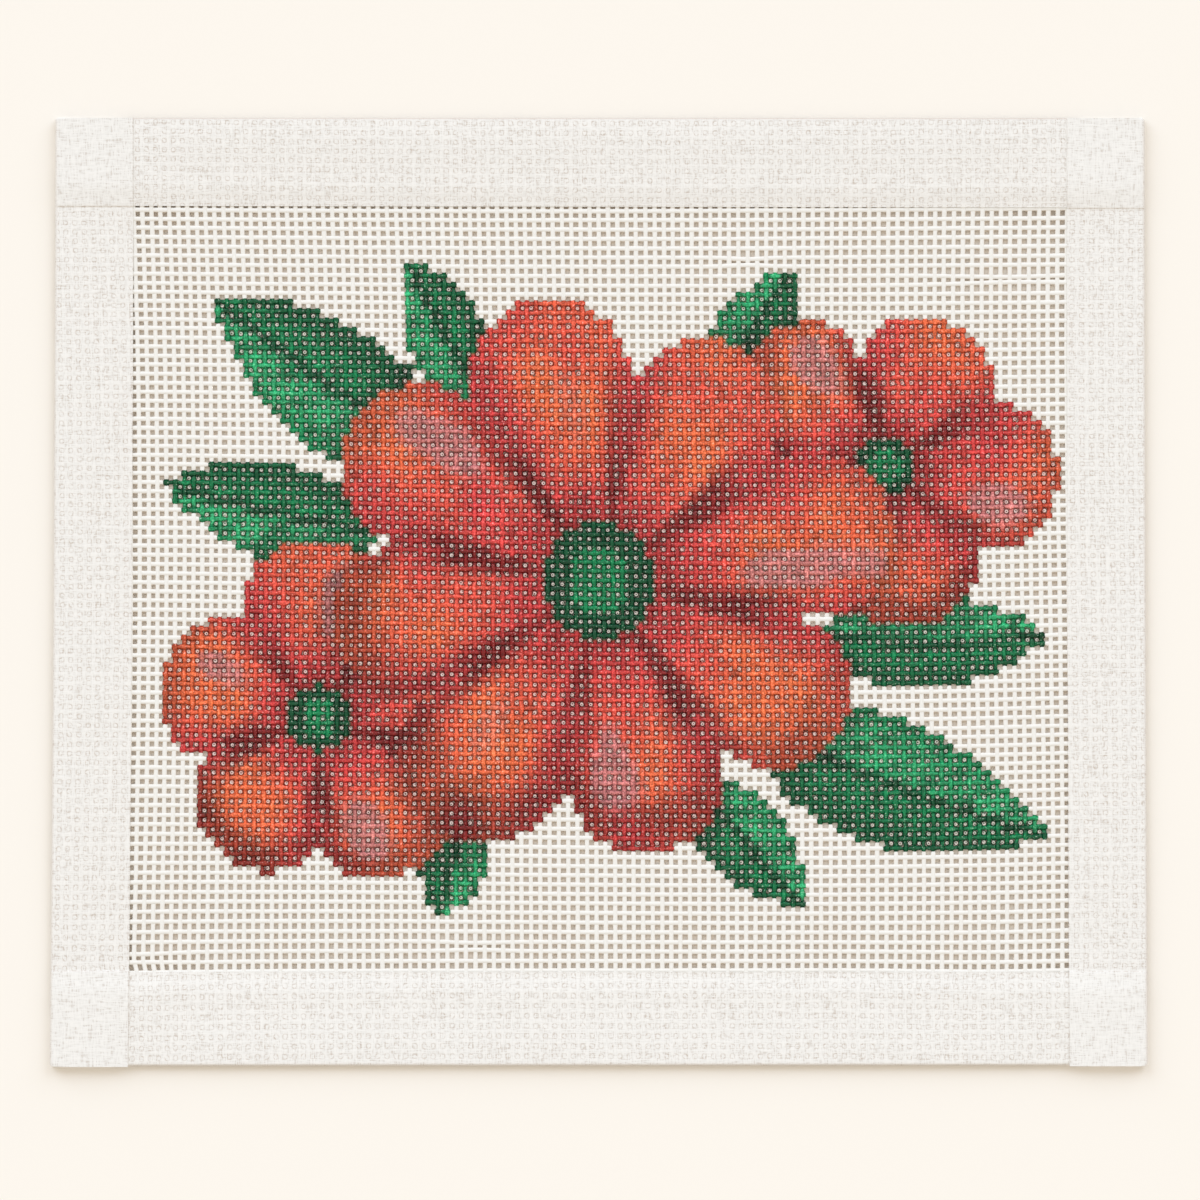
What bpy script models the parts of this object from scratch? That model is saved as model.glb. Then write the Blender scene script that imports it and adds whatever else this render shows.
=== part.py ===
"""Needlepoint canvas panel: a rectangle of starched mono canvas whose four raw edges are
bound in folded white cloth tape, lying flat on a surface.

The side strips were put on last, so both of their faces step over the ends of the top
and bottom strips. Sheets are drawn 1 mm thick with a small gap between the layers, and
the mesh of the canvas, about 1 mm from hole to hole, is left whole.

Metres, +Z up. The origin is under the middle of the panel, on the surface it lies on.
+X runs along the longer side and +Y towards the top of the painted design.
"""

import math
from collections import namedtuple

import bmesh
import bpy

MM = 0.001
INCH = 25.4

# Cloth, in millimetres like every size below
MESH_PITCH = INCH / 13  # mono canvas with 13 holes to the inch
SHEET = 1.0  # thickness of the canvas and of one layer of tape
LAYER_GAP = 0.3  # between layers that lie on each other
TAPE_WIDTH = 1.25 * INCH  # flat, before it is folded: its back leg hides behind the front one

# The panel in plan
WIDTH = 117.65 * MESH_PITCH
HEIGHT = 101.8 * MESH_PITCH
END_OVERHANG = {"bottom": 0.2, "top": 0.0}  # how far a side strip outruns the fold it crosses

# Heights: two layers of tape lie under the canvas at each corner, one elsewhere
LAYER = SHEET + LAYER_GAP
CANVAS_MID = 2 * LAYER + SHEET / 2
RAMP = 3.0  # length over which a side strip climbs onto the strip that it crosses

# pull_x, pull_y: how far the corner was drawn in from the true rectangle.
# side_face, cross_face: how much tape shows there beside the upright and the level edge.
Corner = namedtuple("Corner", "pull_x pull_y side_face cross_face")
CORNERS = {
    ("left", "bottom"): Corner(0.0, 0.2, 16.3, 19.55),
    ("right", "bottom"): Corner(0.0, 0.4, 16.0, 19.65),
    ("left", "top"): Corner(1.2, 0.0, 16.2, 18.25),
    ("right", "top"): Corner(0.5, 0.05, 16.1, 18.6),
}

# outward: the way the edge faces. start, end: its corners, from left or from the bottom.
# bow: how far its middle lies inwards of the straight line between them.
Edge = namedtuple("Edge", "outward start end bow")
EDGES = {
    "left": Edge((-1, 0), ("left", "bottom"), ("left", "top"), 0.2),
    "right": Edge((1, 0), ("right", "bottom"), ("right", "top"), 0.3),
    "bottom": Edge((0, -1), ("left", "bottom"), ("right", "bottom"), 0.0),
    "top": Edge((0, 1), ("left", "top"), ("right", "top"), 0.0),
}

# How finely the sheets are divided
CANVAS_CELLS = (16, 14)
LEG_STEPS = 2
FOLD_STEPS = 10
RAMP_STEPS = 4
STRETCH = 16.0  # longest distance between two stations along a strip

Finish = namedtuple("Finish", "colour roughness")
CANVAS_FINISH = Finish((0.82, 0.80, 0.76, 1.0), 0.75)
TAPE_FINISH = Finish((0.86, 0.84, 0.81, 1.0), 0.85)


def mix(a, b, share):
    return a + (b - a) * share


def smooth(share):
    """0 to 1 with level ends."""
    share = min(max(share, 0.0), 1.0)
    return share * share * (3 - 2 * share)


def corner_place(name):
    side, cross = name
    corner = CORNERS[name]
    x = (WIDTH / 2 - corner.pull_x) * (-1 if side == "left" else 1)
    y = (HEIGHT / 2 - corner.pull_y) * (-1 if cross == "bottom" else 1)
    return x, y


def edge_length(edge):
    return math.dist(corner_place(edge.start), corner_place(edge.end))


def edge_place(edge, along, depth):
    """The point at this length along an outer edge and this depth inwards of it."""
    share = along / edge_length(edge)
    inwards = depth + edge.bow * 4 * share * (1 - share)
    start, end = corner_place(edge.start), corner_place(edge.end)
    return tuple(mix(start[i], end[i], share) - edge.outward[i] * inwards for i in (0, 1))


def is_side(edge):
    return edge.outward[0] != 0


def fold_reach(edge):
    """How far the fold's turn reaches inwards, at the middle of the tape's thickness."""
    return 2 * LAYER if is_side(edge) else LAYER


def cloth_inset(edge):
    """How deep inside the outer edge the cloth in the fold stops."""
    return SHEET / 2 + fold_reach(edge)


def end_stops(edge):
    """The lengths along an edge at which its strip starts and stops."""
    length = edge_length(edge)
    if is_side(edge):
        return -END_OVERHANG["bottom"], length + END_OVERHANG["top"]
    return cloth_inset(EDGES["left"]), length - cloth_inset(EDGES["right"])


def face_width(edge, along):
    """How far the front leg reaches in from the outer edge."""
    pick = "side_face" if is_side(edge) else "cross_face"
    share = along / edge_length(edge)
    return mix(getattr(CORNERS[edge.start], pick), getattr(CORNERS[edge.end], pick), share)


def crossed_face(edge, at_end, front):
    """How wide the leg is that a side strip crosses at one of its ends."""
    face = CORNERS[edge.end if at_end else edge.start].cross_face
    return face if front else TAPE_WIDTH - face


def ramp_span(edge, at_end, front):
    """Where a side strip has just climbed onto the leg it crosses, and where it starts to."""
    top = crossed_face(edge, at_end, front) + LAYER_GAP
    if not at_end:
        return top, top + RAMP
    length = edge_length(edge)
    return length - top, length - top - RAMP


def lift(edge, along, front):
    """Height of a leg's middle above or below the canvas's."""
    if not is_side(edge):
        return LAYER
    climbed = 0.0
    for at_end in (False, True):
        high, low = ramp_span(edge, at_end, front)
        climbed = max(climbed, smooth((along - low) / (high - low)))
    return LAYER * (1 + climbed)


def section(edge, along):
    """The tape's middle line across the strip, as (depth, height): front leg, fold, back leg."""
    centre = cloth_inset(edge)
    face = face_width(edge, along)
    line = [
        (mix(face, centre, step / LEG_STEPS), lift(edge, along, True)) for step in range(LEG_STEPS)
    ]
    for step in range(FOLD_STEPS + 1):
        angle = math.pi * (0.5 - step / FOLD_STEPS)
        height = lift(edge, along, angle >= 0) * math.sin(angle)
        line.append((centre - fold_reach(edge) * math.cos(angle), height))
    for step in range(1, LEG_STEPS + 1):
        depth = mix(centre, TAPE_WIDTH - face, step / LEG_STEPS)
        line.append((depth, -lift(edge, along, False)))
    return line


def stations(edge):
    """Lengths along a strip at which its section is drawn."""
    start, end = end_stops(edge)
    marks = {start, end}
    if is_side(edge):
        for at_end in (False, True):
            for front in (False, True):
                high, low = ramp_span(edge, at_end, front)
                marks |= {mix(high, low, step / RAMP_STEPS) for step in range(RAMP_STEPS + 1)}
    marks = sorted(marks)
    line = []
    for here, following in zip(marks, marks[1:]):
        pieces = math.ceil((following - here) / STRETCH)
        line += [mix(here, following, step / pieces) for step in range(pieces)]
    return line + [end]


def cloth_material(name, finish):
    material = bpy.data.materials.new(name)
    material.use_nodes = True
    material.diffuse_color = finish.colour
    shader = material.node_tree.nodes["Principled BSDF"]
    shader.inputs["Base Color"].default_value = finish.colour
    shader.inputs["Roughness"].default_value = finish.roughness
    shader.inputs["Metallic"].default_value = 0.0
    return material


def sheet(name, cells, place, material, collection):
    """A flat grid of cloth laid by place(column, row), which gives millimetres, and thickened."""
    columns, rows = cells
    cloth = bmesh.new()
    bmesh.ops.create_grid(cloth, x_segments=columns, y_segments=rows, size=1.0)
    for vert in cloth.verts:
        column = round((vert.co.x + 1) / 2 * columns)
        row = round((vert.co.y + 1) / 2 * rows)
        vert.co = [value * MM for value in place(column, row)]
    mesh = bpy.data.meshes.new(name)
    cloth.to_mesh(mesh)
    cloth.free()
    mesh.materials.append(material)
    mesh.shade_smooth()
    body = bpy.data.objects.new(name, mesh)
    collection.objects.link(body)
    thickness = body.modifiers.new("Thickness", "SOLIDIFY")
    thickness.thickness = SHEET * MM
    thickness.offset = 0.0
    thickness.use_even_offset = True
    return body


def canvas(material, collection):
    columns, rows = CANVAS_CELLS

    def place(column, row):
        across, up = column / columns, row / rows
        ends = {}
        for name, edge in EDGES.items():
            share = up if is_side(edge) else across
            ends[name] = edge_place(edge, share * edge_length(edge), cloth_inset(edge))
        x = mix(ends["left"][0], ends["right"][0], across)
        y = mix(ends["bottom"][1], ends["top"][1], up)
        return x, y, CANVAS_MID

    return sheet("canvas", CANVAS_CELLS, place, material, collection)


def tape_strip(side, material, collection):
    edge = EDGES[side]
    lengths = stations(edge)
    lines = [section(edge, along) for along in lengths]

    def place(column, row):
        depth, height = lines[row][column]
        x, y = edge_place(edge, lengths[row], depth)
        return x, y, CANVAS_MID + height

    cells = (len(lines[0]) - 1, len(lengths) - 1)
    return sheet(f"tape_{side}", cells, place, material, collection)


def clear_scene():
    for item in list(bpy.data.objects):
        bpy.data.objects.remove(item, do_unlink=True)


def main():
    clear_scene()
    panel = bpy.data.collections.new("needlepoint_canvas_panel")
    bpy.context.scene.collection.children.link(panel)
    canvas(cloth_material("starched_canvas", CANVAS_FINISH), panel)
    tape = cloth_material("cloth_tape", TAPE_FINISH)
    for side in EDGES:
        tape_strip(side, tape, panel)


main()
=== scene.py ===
"""Needlepoint canvas panel: the woven, painted canvas and its folded cloth tape.

Run as a script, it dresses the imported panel. The canvas is woven thread by thread, each
crossing is painted by a rule, and each edge's tape is one thin folded sheet, pressed on
the mesh so that the holes show through it. Lengths in the code are millimetres in the
panel's own frame: +X along its longer side, +Y to the top of the design, +Z up.
"""

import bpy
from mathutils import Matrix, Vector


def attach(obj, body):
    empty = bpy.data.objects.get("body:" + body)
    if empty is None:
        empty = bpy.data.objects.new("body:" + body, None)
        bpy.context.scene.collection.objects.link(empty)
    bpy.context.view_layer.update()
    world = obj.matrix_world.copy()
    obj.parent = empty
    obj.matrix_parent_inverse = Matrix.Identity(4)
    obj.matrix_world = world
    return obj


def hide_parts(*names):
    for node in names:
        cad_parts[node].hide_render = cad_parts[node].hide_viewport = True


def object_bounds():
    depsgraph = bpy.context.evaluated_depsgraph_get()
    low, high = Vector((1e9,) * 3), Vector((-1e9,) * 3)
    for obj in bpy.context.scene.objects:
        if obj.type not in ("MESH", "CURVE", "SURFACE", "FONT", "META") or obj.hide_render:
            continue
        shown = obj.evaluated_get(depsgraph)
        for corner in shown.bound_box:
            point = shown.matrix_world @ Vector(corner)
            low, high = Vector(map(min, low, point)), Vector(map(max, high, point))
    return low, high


bl_info = {
    "name": "Needlepoint canvas panel",
    "version": (1, 0, 0),
    "blender": (4, 5, 0),
    "location": "View3D > Sidebar > Needlepoint",
    "description": "Weaves, paints and tapes a mono canvas panel",
    "category": "Add Mesh",
}

import math
from collections import namedtuple
from functools import partial

import bpy
import numpy as np
from bpy.props import FloatProperty, FloatVectorProperty, PointerProperty

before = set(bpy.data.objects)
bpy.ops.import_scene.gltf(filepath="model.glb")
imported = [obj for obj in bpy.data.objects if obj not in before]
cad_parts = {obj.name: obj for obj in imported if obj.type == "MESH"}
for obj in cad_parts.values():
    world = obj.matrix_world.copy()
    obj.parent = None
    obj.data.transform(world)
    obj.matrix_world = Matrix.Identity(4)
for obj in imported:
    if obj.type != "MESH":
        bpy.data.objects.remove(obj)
CAD_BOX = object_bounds()

MM = 0.001
MIL = 1000.0  # millimetres in a metre
BODY = "root"
SEED = 13


# ---- settings

def linear(code):
    """Linear RGB of an sRGB hex colour such as '#F4F1EA'."""
    made = []
    for at in (1, 3, 5):
        value = int(code[at:at + 2], 16) / 255
        made.append(value / 12.92 if value <= 0.04045 else ((value + 0.055) / 1.055) ** 2.4)
    return tuple(made)


def colour_property(name, code, description):
    return FloatVectorProperty(
        name=name, description=description, subtype="COLOR", min=0.0, max=1.0, default=linear(code)
    )


def length_property(name, size, description):
    """A length given in millimetres and kept in metres."""
    return FloatProperty(
        name=name, description=description, default=size * MM, unit="LENGTH", precision=5
    )


def angle_property(name, degrees, description):
    return FloatProperty(
        name=name, description=description, default=math.radians(degrees), subtype="ANGLE"
    )


class NEEDLEPOINT_PG_canvas(bpy.types.PropertyGroup):
    """Sizes of the threads and of the mesh that they make"""

    mesh: length_property("Mesh", 1.940, "Distance from thread to thread")
    bare_width: length_property("Bare thread", 1.01, "Width of a starched thread without paint")
    painted_width: length_property("Painted thread", 1.14, "Width of a thread under paint")
    thread_height: length_property("Thread height", 0.36, "Thickness of one flattened thread")
    wander: length_property("Wander", 0.05, "How far a thread strays from its own line")
    pinhole: length_property("Pinhole", 0.12, "Radius of the opening that the starch leaves")
    cotton: colour_property("Cotton", "#EBE9E4", "Bleached, starched cotton thread")
    # The next colour is painted shade, drawn warm brown down the threads' sides and backs
    shaded_cotton: colour_property("Sized cotton", "#E3CEB6", "Thread where more starch has gathered")
    starch: colour_property("Starch", "#E9DCD4", "Starch and thinned paint in the holes")


class NEEDLEPOINT_PG_paint(bpy.types.PropertyGroup):
    """Colours of the paints on the canvas"""

    orange: colour_property("Orange", "#FB7648", "Lit part of a petal")
    red: colour_property("Red", "#E8494A", "Body of a petal")
    maroon: colour_property("Maroon", "#801C1D", "Folds between the petals")
    mauve: colour_property("Mauve", "#C98688", "Dusty highlight on a petal")
    leaf: colour_property("Leaf", "#0A8450", "Body of a leaf")
    leaf_dark: colour_property("Dark leaf", "#00502F", "Veins and shaded edges of a leaf")
    leaf_light: colour_property("Light leaf", "#34B476", "Lit part of a leaf")


class NEEDLEPOINT_PG_tape(bpy.types.PropertyGroup):
    """Sizes and colours of the cloth tape folded over the edges"""

    width: length_property("Width", 31.75, "Flat width of the tape")
    thickness: length_property("Thickness", 0.38, "Thickness of one layer of tape")
    edge: length_property("Cut edge", 0.12, "Thickness of the tape where its edge is pressed down")
    taper: length_property("Taper", 4.5, "Length over which the tape thins to that")
    dimple: length_property("Dimple", 0.07, "How deep the tape is pressed into a hole")
    ramp: length_property("Ramp", 0.40, "Length over which a strip climbs onto another's edge")
    cloth: colour_property("Cloth", "#EBE9E5", "Matt white cloth tape")
    # The mark colour is painted shade, for the holes' rims, the creases, the cut edges and the fold
    mark: colour_property("Mark", "#C6BAAE", "Shaded rim of a hole under the tape")


class NEEDLEPOINT_PG_stage(bpy.types.PropertyGroup):
    """Camera, floor and light"""

    lens: FloatProperty(name="Lens", description="Focal length", default=240.0, unit="CAMERA")
    picture: length_property("Picture width", 251.7, "Width of floor that the picture takes in")
    aim_x: length_property("Aim across", 0.4, "Middle of the picture, from the panel's middle")
    aim_y: length_property("Aim up", -1.6, "Middle of the picture, from the panel's middle")
    floor: colour_property("Floor", "#F3EEE6", "Warm pale paper under the panel")
    lamp: FloatProperty(name="Lamps", description="Strength of the left lamp", default=1.49)
    lamp_tint: colour_property("Lamp colour", "#D6E8FF", "Colour of the lamps' light")
    lamp_height: angle_property("Lamp height", 28, "How high above the table the lamps stand")
    lamp_turn: angle_property("Lamp turn", 40, "How far each stands to its side of the top edge")
    lamp_spread: angle_property("Lamp spread", 49, "How wide each lamp's screen looks")
    room: FloatProperty(name="Room light", description="Strength of the room's light", default=0.826)
    room_tint: colour_property("Room colour", "#FFF6E9", "Colour of the room's light")


def settings(name):
    return getattr(bpy.context.scene, f"needlepoint_{name}")


# ---- the panel in plan

# pull_x, pull_y: how far the corner was drawn in from the true rectangle.
# side_face, cross_face: how much tape shows there beside the upright and the level edge.
Corner = namedtuple("Corner", "pull_x pull_y side_face cross_face")
CORNERS = {
    ("left", "bottom"): Corner(0.0, 0.15, 16.45, 19.75),
    ("right", "bottom"): Corner(-0.25, 0.3, 16.4, 19.55),
    ("left", "top"): Corner(1.2, 0.0, 16.35, 18.40),
    ("right", "top"): Corner(0.4, 0.05, 16.3, 18.75),
}

# outward: the way the edge faces. start, end: its corners, from left or from the bottom.
# bow: how far its middle lies inwards of the straight line between them.
Edge = namedtuple("Edge", "outward start end bow")
EDGES = {
    "left": Edge((-1, 0), ("left", "bottom"), ("left", "top"), 0.2),
    "right": Edge((1, 0), ("right", "bottom"), ("right", "top"), 0.1),
    "bottom": Edge((0, -1), ("left", "bottom"), ("right", "bottom"), 0.0),
    "top": Edge((0, 1), ("left", "top"), ("right", "top"), 0.0),
}
HALF_WIDTH = CAD_BOX[1].x * MIL
HALF_HEIGHT = CAD_BOX[1].y * MIL
END_OVERHANG = 0.12  # how far a side strip outruns the bottom fold
SLACK = 0.06  # air between the layers


def mix(a, b, share):
    return a + (b - a) * share


def smooth(share):
    """0 to 1 with level ends, for a number or an array."""
    share = np.clip(share, 0.0, 1.0)
    return share * share * (3 - 2 * share)


def rise(value, start, run):
    """0 up to start and 1 from run beyond it on."""
    return smooth((value - start) / run)


def fall(value, end, run):
    """1 down to run short of the end and 0 from the end on."""
    return smooth((end - value) / run)


def corner_place(name):
    side, cross = name
    corner = CORNERS[name]
    x = (HALF_WIDTH - corner.pull_x) * (-1 if side == "left" else 1)
    y = (HALF_HEIGHT - corner.pull_y) * (-1 if cross == "bottom" else 1)
    return x, y


def is_side(edge):
    return edge.outward[0] != 0


def edge_length(edge):
    return math.dist(corner_place(edge.start), corner_place(edge.end))


def edge_place(edge, share, depth):
    """The points at these shares of an outer edge's length and these depths inwards of it."""
    inwards = depth + edge.bow * 4 * share * (1 - share)
    start, end = corner_place(edge.start), corner_place(edge.end)
    return [mix(start[k], end[k], share) - edge.outward[k] * inwards for k in (0, 1)]


def face_width(edge, share):
    """How far the front leg of the tape reaches in from the outer edge."""
    pick = "side_face" if is_side(edge) else "cross_face"
    return mix(getattr(CORNERS[edge.start], pick), getattr(CORNERS[edge.end], pick), share)


def heights():
    """Thicknesses and heights of the layers in millimetres.

    layer is the step from one layer of tape to the next, first the height of a tape's middle
    above the canvas's and mid the canvas's height above the table, where it doesn't sag.
    """
    thread = settings("canvas").thread_height * MIL
    tape = settings("tape").thickness * MIL
    layer = tape + SLACK
    first = thread / 2 * (1 + BARE_RISE) + SLACK + tape / 2
    mid = first + layer + tape / 2
    return {"thread": thread, "tape": tape, "layer": layer, "first": first, "mid": mid}


# ---- the mesh of the canvas

FIRST = (-97.31, 82.52)  # place of warp 0 and weft 0
WOVEN = {"warp": range(-2, 104), "weft": range(-1, 86)}  # threads in or beside the opening
HIDDEN = {"warp": range(-8, 109), "weft": range(-8, 93)}  # all threads
SPAN = {"warp": (0.0, 101.0), "weft": (0.75, 83.35)}  # threads at the opening's edges
COUNT_ROUNDS = 7  # rounds of nearing in which a point's counts are found

# How far the canvas hangs down at its middle, from the height of its folds, and how much of
# that it has reached where it turns, about three meshes outside the opening
SAG, STRIP_SAG = 0.56, 0.32
SAG_STARTS, SAG_TURNS, SAG_ENDS = -8.0, -2.7, 2.0  # in meshes inside the opening's edge
# The doubled corners lie flat: a side strip does so from this many meshes above or below the
# opening on, and sags in full this many meshes before that
FLAT_FROM, FLAT_RUN = 4.0, 8.0

# Mesh under each side's tape, and how much closer to the opening it starts than even
# spacing would give, at the left or top end of that side and at its other end
Hidden = namedtuple("Hidden", "mesh closer")
UNDER = {
    "left": Hidden((1.90, 1.92), (0.0, 0.0)),
    "right": Hidden((2.06, 2.02), (0.0, 0.0)),
    "top": Hidden((1.95, 2.05), (0.15, 1.25)),
    "bottom": Hidden((2.10, 2.11), (0.0, 0.0)),
}

# How far the weave strays from even spacing, in meshes, at thirds of the opening: each
# row goes from left to right and the rows from top to bottom. Plus is right, or down.
WARP_DRIFT = (
    (-0.08, -0.75, -0.68, -0.11),
    (0.58, -0.17, -0.43, -0.14),
    (0.52, -0.16, 0.03, 0.22),
    (-0.04, -0.12, 0.18, 0.30),
)
WEFT_DRIFT = (
    (0.16, 0.32, 0.28, 0.03),
    (-0.31, 0.12, 0.45, 0.17),
    (-0.62, -0.12, 0.32, -0.09),
    (0.54, 0.23, 0.23, -0.17),
)
# The rows from the weft first on are wider: in all by left meshes, and towards the right by
# more of them, which come on from the share start of the width over the share run
Foot = namedtuple("Foot", "left more start run first rows")
FOOT = Foot(0.20, 0.34, 0.72, 0.22, 75.0, 8.0)
# At the lower left the first few warps step right by shift meshes, from the weft first on
Twist = namedtuple("Twist", "shift warps first wefts")
TWIST = Twist(0.40, 4.0, 81.6, 1.6)

# Threads that slid against a neighbour: the axis, the thread, the middle and reach of the
# place along it, counted in threads that cross there, and how far, in meshes
Stray = namedtuple("Stray", "axis index middle reach shift")
STRAYS = (
    Stray("weft", 8, 95, 7.0, 0.22),
    Stray("weft", 9, 96, 7.5, -0.24),
    Stray("weft", 6, 67, 2.2, 0.16),
    Stray("weft", 7, 67, 2.5, -0.16),
    Stray("weft", 80, 37, 3.5, 0.15),
    Stray("weft", 81, 37, 3.5, -0.13),
    Stray("weft", 81, 1, 4.0, 0.16),
    Stray("weft", 82, 0, 4.5, -0.10),
    Stray("weft", 13, 9, 3.0, 0.12),
    Stray("weft", 47, 98, 3.0, 0.14),
)
# A thread wavers in three waves, each of so many half turns over its length, at least and at
# most, and of this size, and lies off its line by this spread, in units of the canvas's wander
FEWEST_TURNS, MOST_TURNS = [1.0, 3.0, 8.0], [3.0, 8.0, 15.0]
LEAST_WAVE, MOST_WAVE, OFF_LINE = 0.3, 0.9, 0.5


def lagrange(t):
    """Weights of four values at 0, 1/3, 2/3 and 1 for the smooth curve through them."""
    a, b, c = t * 3, t * 3 - 1, t * 3 - 2
    d = t * 3 - 3
    return -b * c * d / 6, a * c * d / 2, -a * b * d / 2, a * b * c / 6


def drift(table, across, down):
    """The value of a four by four table at these shares of the opening."""
    columns, rows = lagrange(across), lagrange(down)
    return sum(rows[r] * columns[c] * table[r][c] for r in range(4) for c in range(4))


class Lattice:
    """Where each thread of the canvas runs. Warps count from the left, wefts from the top."""

    def __init__(self):
        canvas = settings("canvas")
        self.mesh = canvas.mesh * MIL
        self.wander = canvas.wander * MIL
        rng = np.random.default_rng(SEED)
        self.waves = {}
        for axis in ("warp", "weft"):
            count = len(HIDDEN[axis]) + 1
            self.waves[axis] = {
                "shift": rng.normal(0, OFF_LINE, count),
                "size": rng.uniform(LEAST_WAVE, MOST_WAVE, (count, 3)),
                "turns": rng.uniform(FEWEST_TURNS, MOST_TURNS, (count, 3)),
                "start": rng.uniform(0, 2 * math.pi, (count, 3)),
            }

    def wave(self, axis, index, along):
        """The small stray of a thread, in millimetres, at this share of its length."""
        at = np.clip(index - HIDDEN[axis].start, 0, len(HIDDEN[axis]) - 1)
        low = np.floor(at).astype(int)
        numbers = self.waves[axis]
        total = 0.0
        for k, share in ((low, 1 - (at - low)), (low + 1, at - low)):
            swing = numbers["shift"][k]
            for n in range(3):
                angle = numbers["turns"][k, n] * along * math.pi + numbers["start"][k, n]
                swing = swing + numbers["size"][k, n] / (1 + n) * np.sin(angle)
            total = total + swing * share
        return total * self.wander

    def stray(self, axis, index, along):
        """How far the thread has slid from its place, in meshes, at this count along it."""
        total = 0.0
        for s in STRAYS:
            if s.axis == axis:
                near = np.clip(1 - np.abs(index - s.index), 0, 1)
                total = total + s.shift * near * np.exp(-(((along - s.middle) / s.reach) ** 2))
        if axis == "warp":
            low = rise(along, TWIST.first, TWIST.wefts)
            total = total + TWIST.shift * np.exp(-((index / TWIST.warps) ** 2)) * low
        return total

    def place(self, warp, weft):
        """x and y of the point at these counts of warps and wefts, whole or not."""
        warp, weft = np.broadcast_arrays(np.asarray(warp, float), np.asarray(weft, float))
        left, right = SPAN["warp"]
        top, bottom = SPAN["weft"]
        across = np.clip((warp - left) / (right - left), 0, 1)
        down = np.clip((weft - top) / (bottom - top), 0, 1)
        column = warp + drift(WARP_DRIFT, across, down) + self.stray("warp", warp, weft)
        row = weft + drift(WEFT_DRIFT, across, down) + self.stray("weft", weft, warp)
        wider = FOOT.left + FOOT.more * rise(across, FOOT.start, FOOT.run)
        row = row + wider * rise(weft, FOOT.first, FOOT.rows)
        x = FIRST[0] + self.mesh * column + self.wave("warp", warp, down)
        y = FIRST[1] - self.mesh * row + self.wave("weft", weft, across)
        x = x - self.under("left", left - warp, down) + self.under("right", warp - right, down)
        y = y + self.under("top", top - weft, across) - self.under("bottom", weft - bottom, across)
        return x, y

    def under(self, side, beyond, share):
        """How much farther out than even spacing puts it a thread lies under a side's tape."""
        hidden = UNDER[side]
        beyond = np.clip(beyond, 0, None)
        wider = (mix(*hidden.mesh, share) - self.mesh) * beyond
        return wider - mix(*hidden.closer, share) * smooth(beyond)

    def sag(self, warp, weft):
        """How far the panel hangs down here, in millimetres: not at its folds and corners."""
        left, right = SPAN["warp"]
        top, bottom = SPAN["weft"]
        beside = np.maximum(left - warp, warp - right)
        beyond = np.maximum(top - weft, weft - bottom)
        inside = -np.maximum(beside, beyond)
        strip = rise(inside, SAG_STARTS, SAG_TURNS - SAG_STARTS)
        middle = rise(inside, SAG_TURNS, SAG_ENDS - SAG_TURNS)
        free = smooth(np.maximum(-beside, FLAT_FROM - beyond) / FLAT_RUN)
        return (STRIP_SAG * strip + (SAG - STRIP_SAG) * middle) * free

    def counts(self, x, y):
        """The counts of warps and wefts at these points, the inverse of place."""
        warp = (x - FIRST[0]) / self.mesh
        weft = (FIRST[1] - y) / self.mesh
        for _ in range(COUNT_ROUNDS):
            here_x, here_y = self.place(warp, weft)
            warp = warp + (x - here_x) / self.mesh
            weft = weft - (y - here_y) / self.mesh
        return warp, weft


# ---- the painted design

# Flowers: place and reach in meshes from the middle of the design, +y up
Flower = namedtuple("Flower", "x y reach petals turn eye")
FLOWERS = (
    Flower(-30.5, -14.5, 18.5, 5, 0.35, 3.6),
    Flower(31.0, 13.5, 18.0, 5, 1.15, 3.4),
    Flower(0.0, 1.0, 31.0, 8, 0.22, 6.2),
)
# Leaves: root, direction in degrees, length and half width
Leaf = namedtuple("Leaf", "x y heading length half_width")
LEAVES = (
    Leaf(-16.0, 14.0, 152, 31.0, 6.8),
    Leaf(-12.0, 20.0, 124, 17.5, 4.4),
    Leaf(-24.0, 6.0, 174, 24.0, 5.2),
    Leaf(16.0, -14.0, -28, 34.0, 6.8),
    Leaf(10.0, -20.0, -56, 18.5, 4.4),
    Leaf(24.0, -5.0, -6, 24.0, 5.0),
    Leaf(14.0, 22.0, 66, 14.5, 3.8),
    Leaf(-14.0, -24.0, -112, 12.0, 3.6),
)
MIDDLE = (50.5, 42.0)  # the design's middle, in warps and wefts
SHADOW_REACH, SHADOW_DEPTH = 3.2, 0.42  # painted shadow of one motif on those behind it
UNEVEN_PAINT = 0.12  # spread of brightness from crossing to crossing
NOISE_WAVES, NOISE_PEAK = 6, 3.2  # waves in the soft noise, and what they rarely add up to
PAINTS = ("orange", "red", "maroon", "mauve", "leaf", "leaf_dark", "leaf_light")


def soft_noise(x, y, size, seed):
    """Smooth noise from about -1 to 1 with blots some meshes wide."""
    rng = np.random.default_rng(seed)
    total = np.zeros(np.broadcast(x, y).shape)
    for _ in range(NOISE_WAVES):
        angle, phase = rng.uniform(0, 2 * math.pi, 2)
        step = 2 * math.pi / (size * rng.uniform(0.7, 1.6))
        total += np.sin((x * math.cos(angle) + y * math.sin(angle)) * step + phase)
    return total / NOISE_PEAK


def tint(base, over, share):
    return base + (np.asarray(over) - base) * np.clip(share, 0, 1)[..., None]


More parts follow.
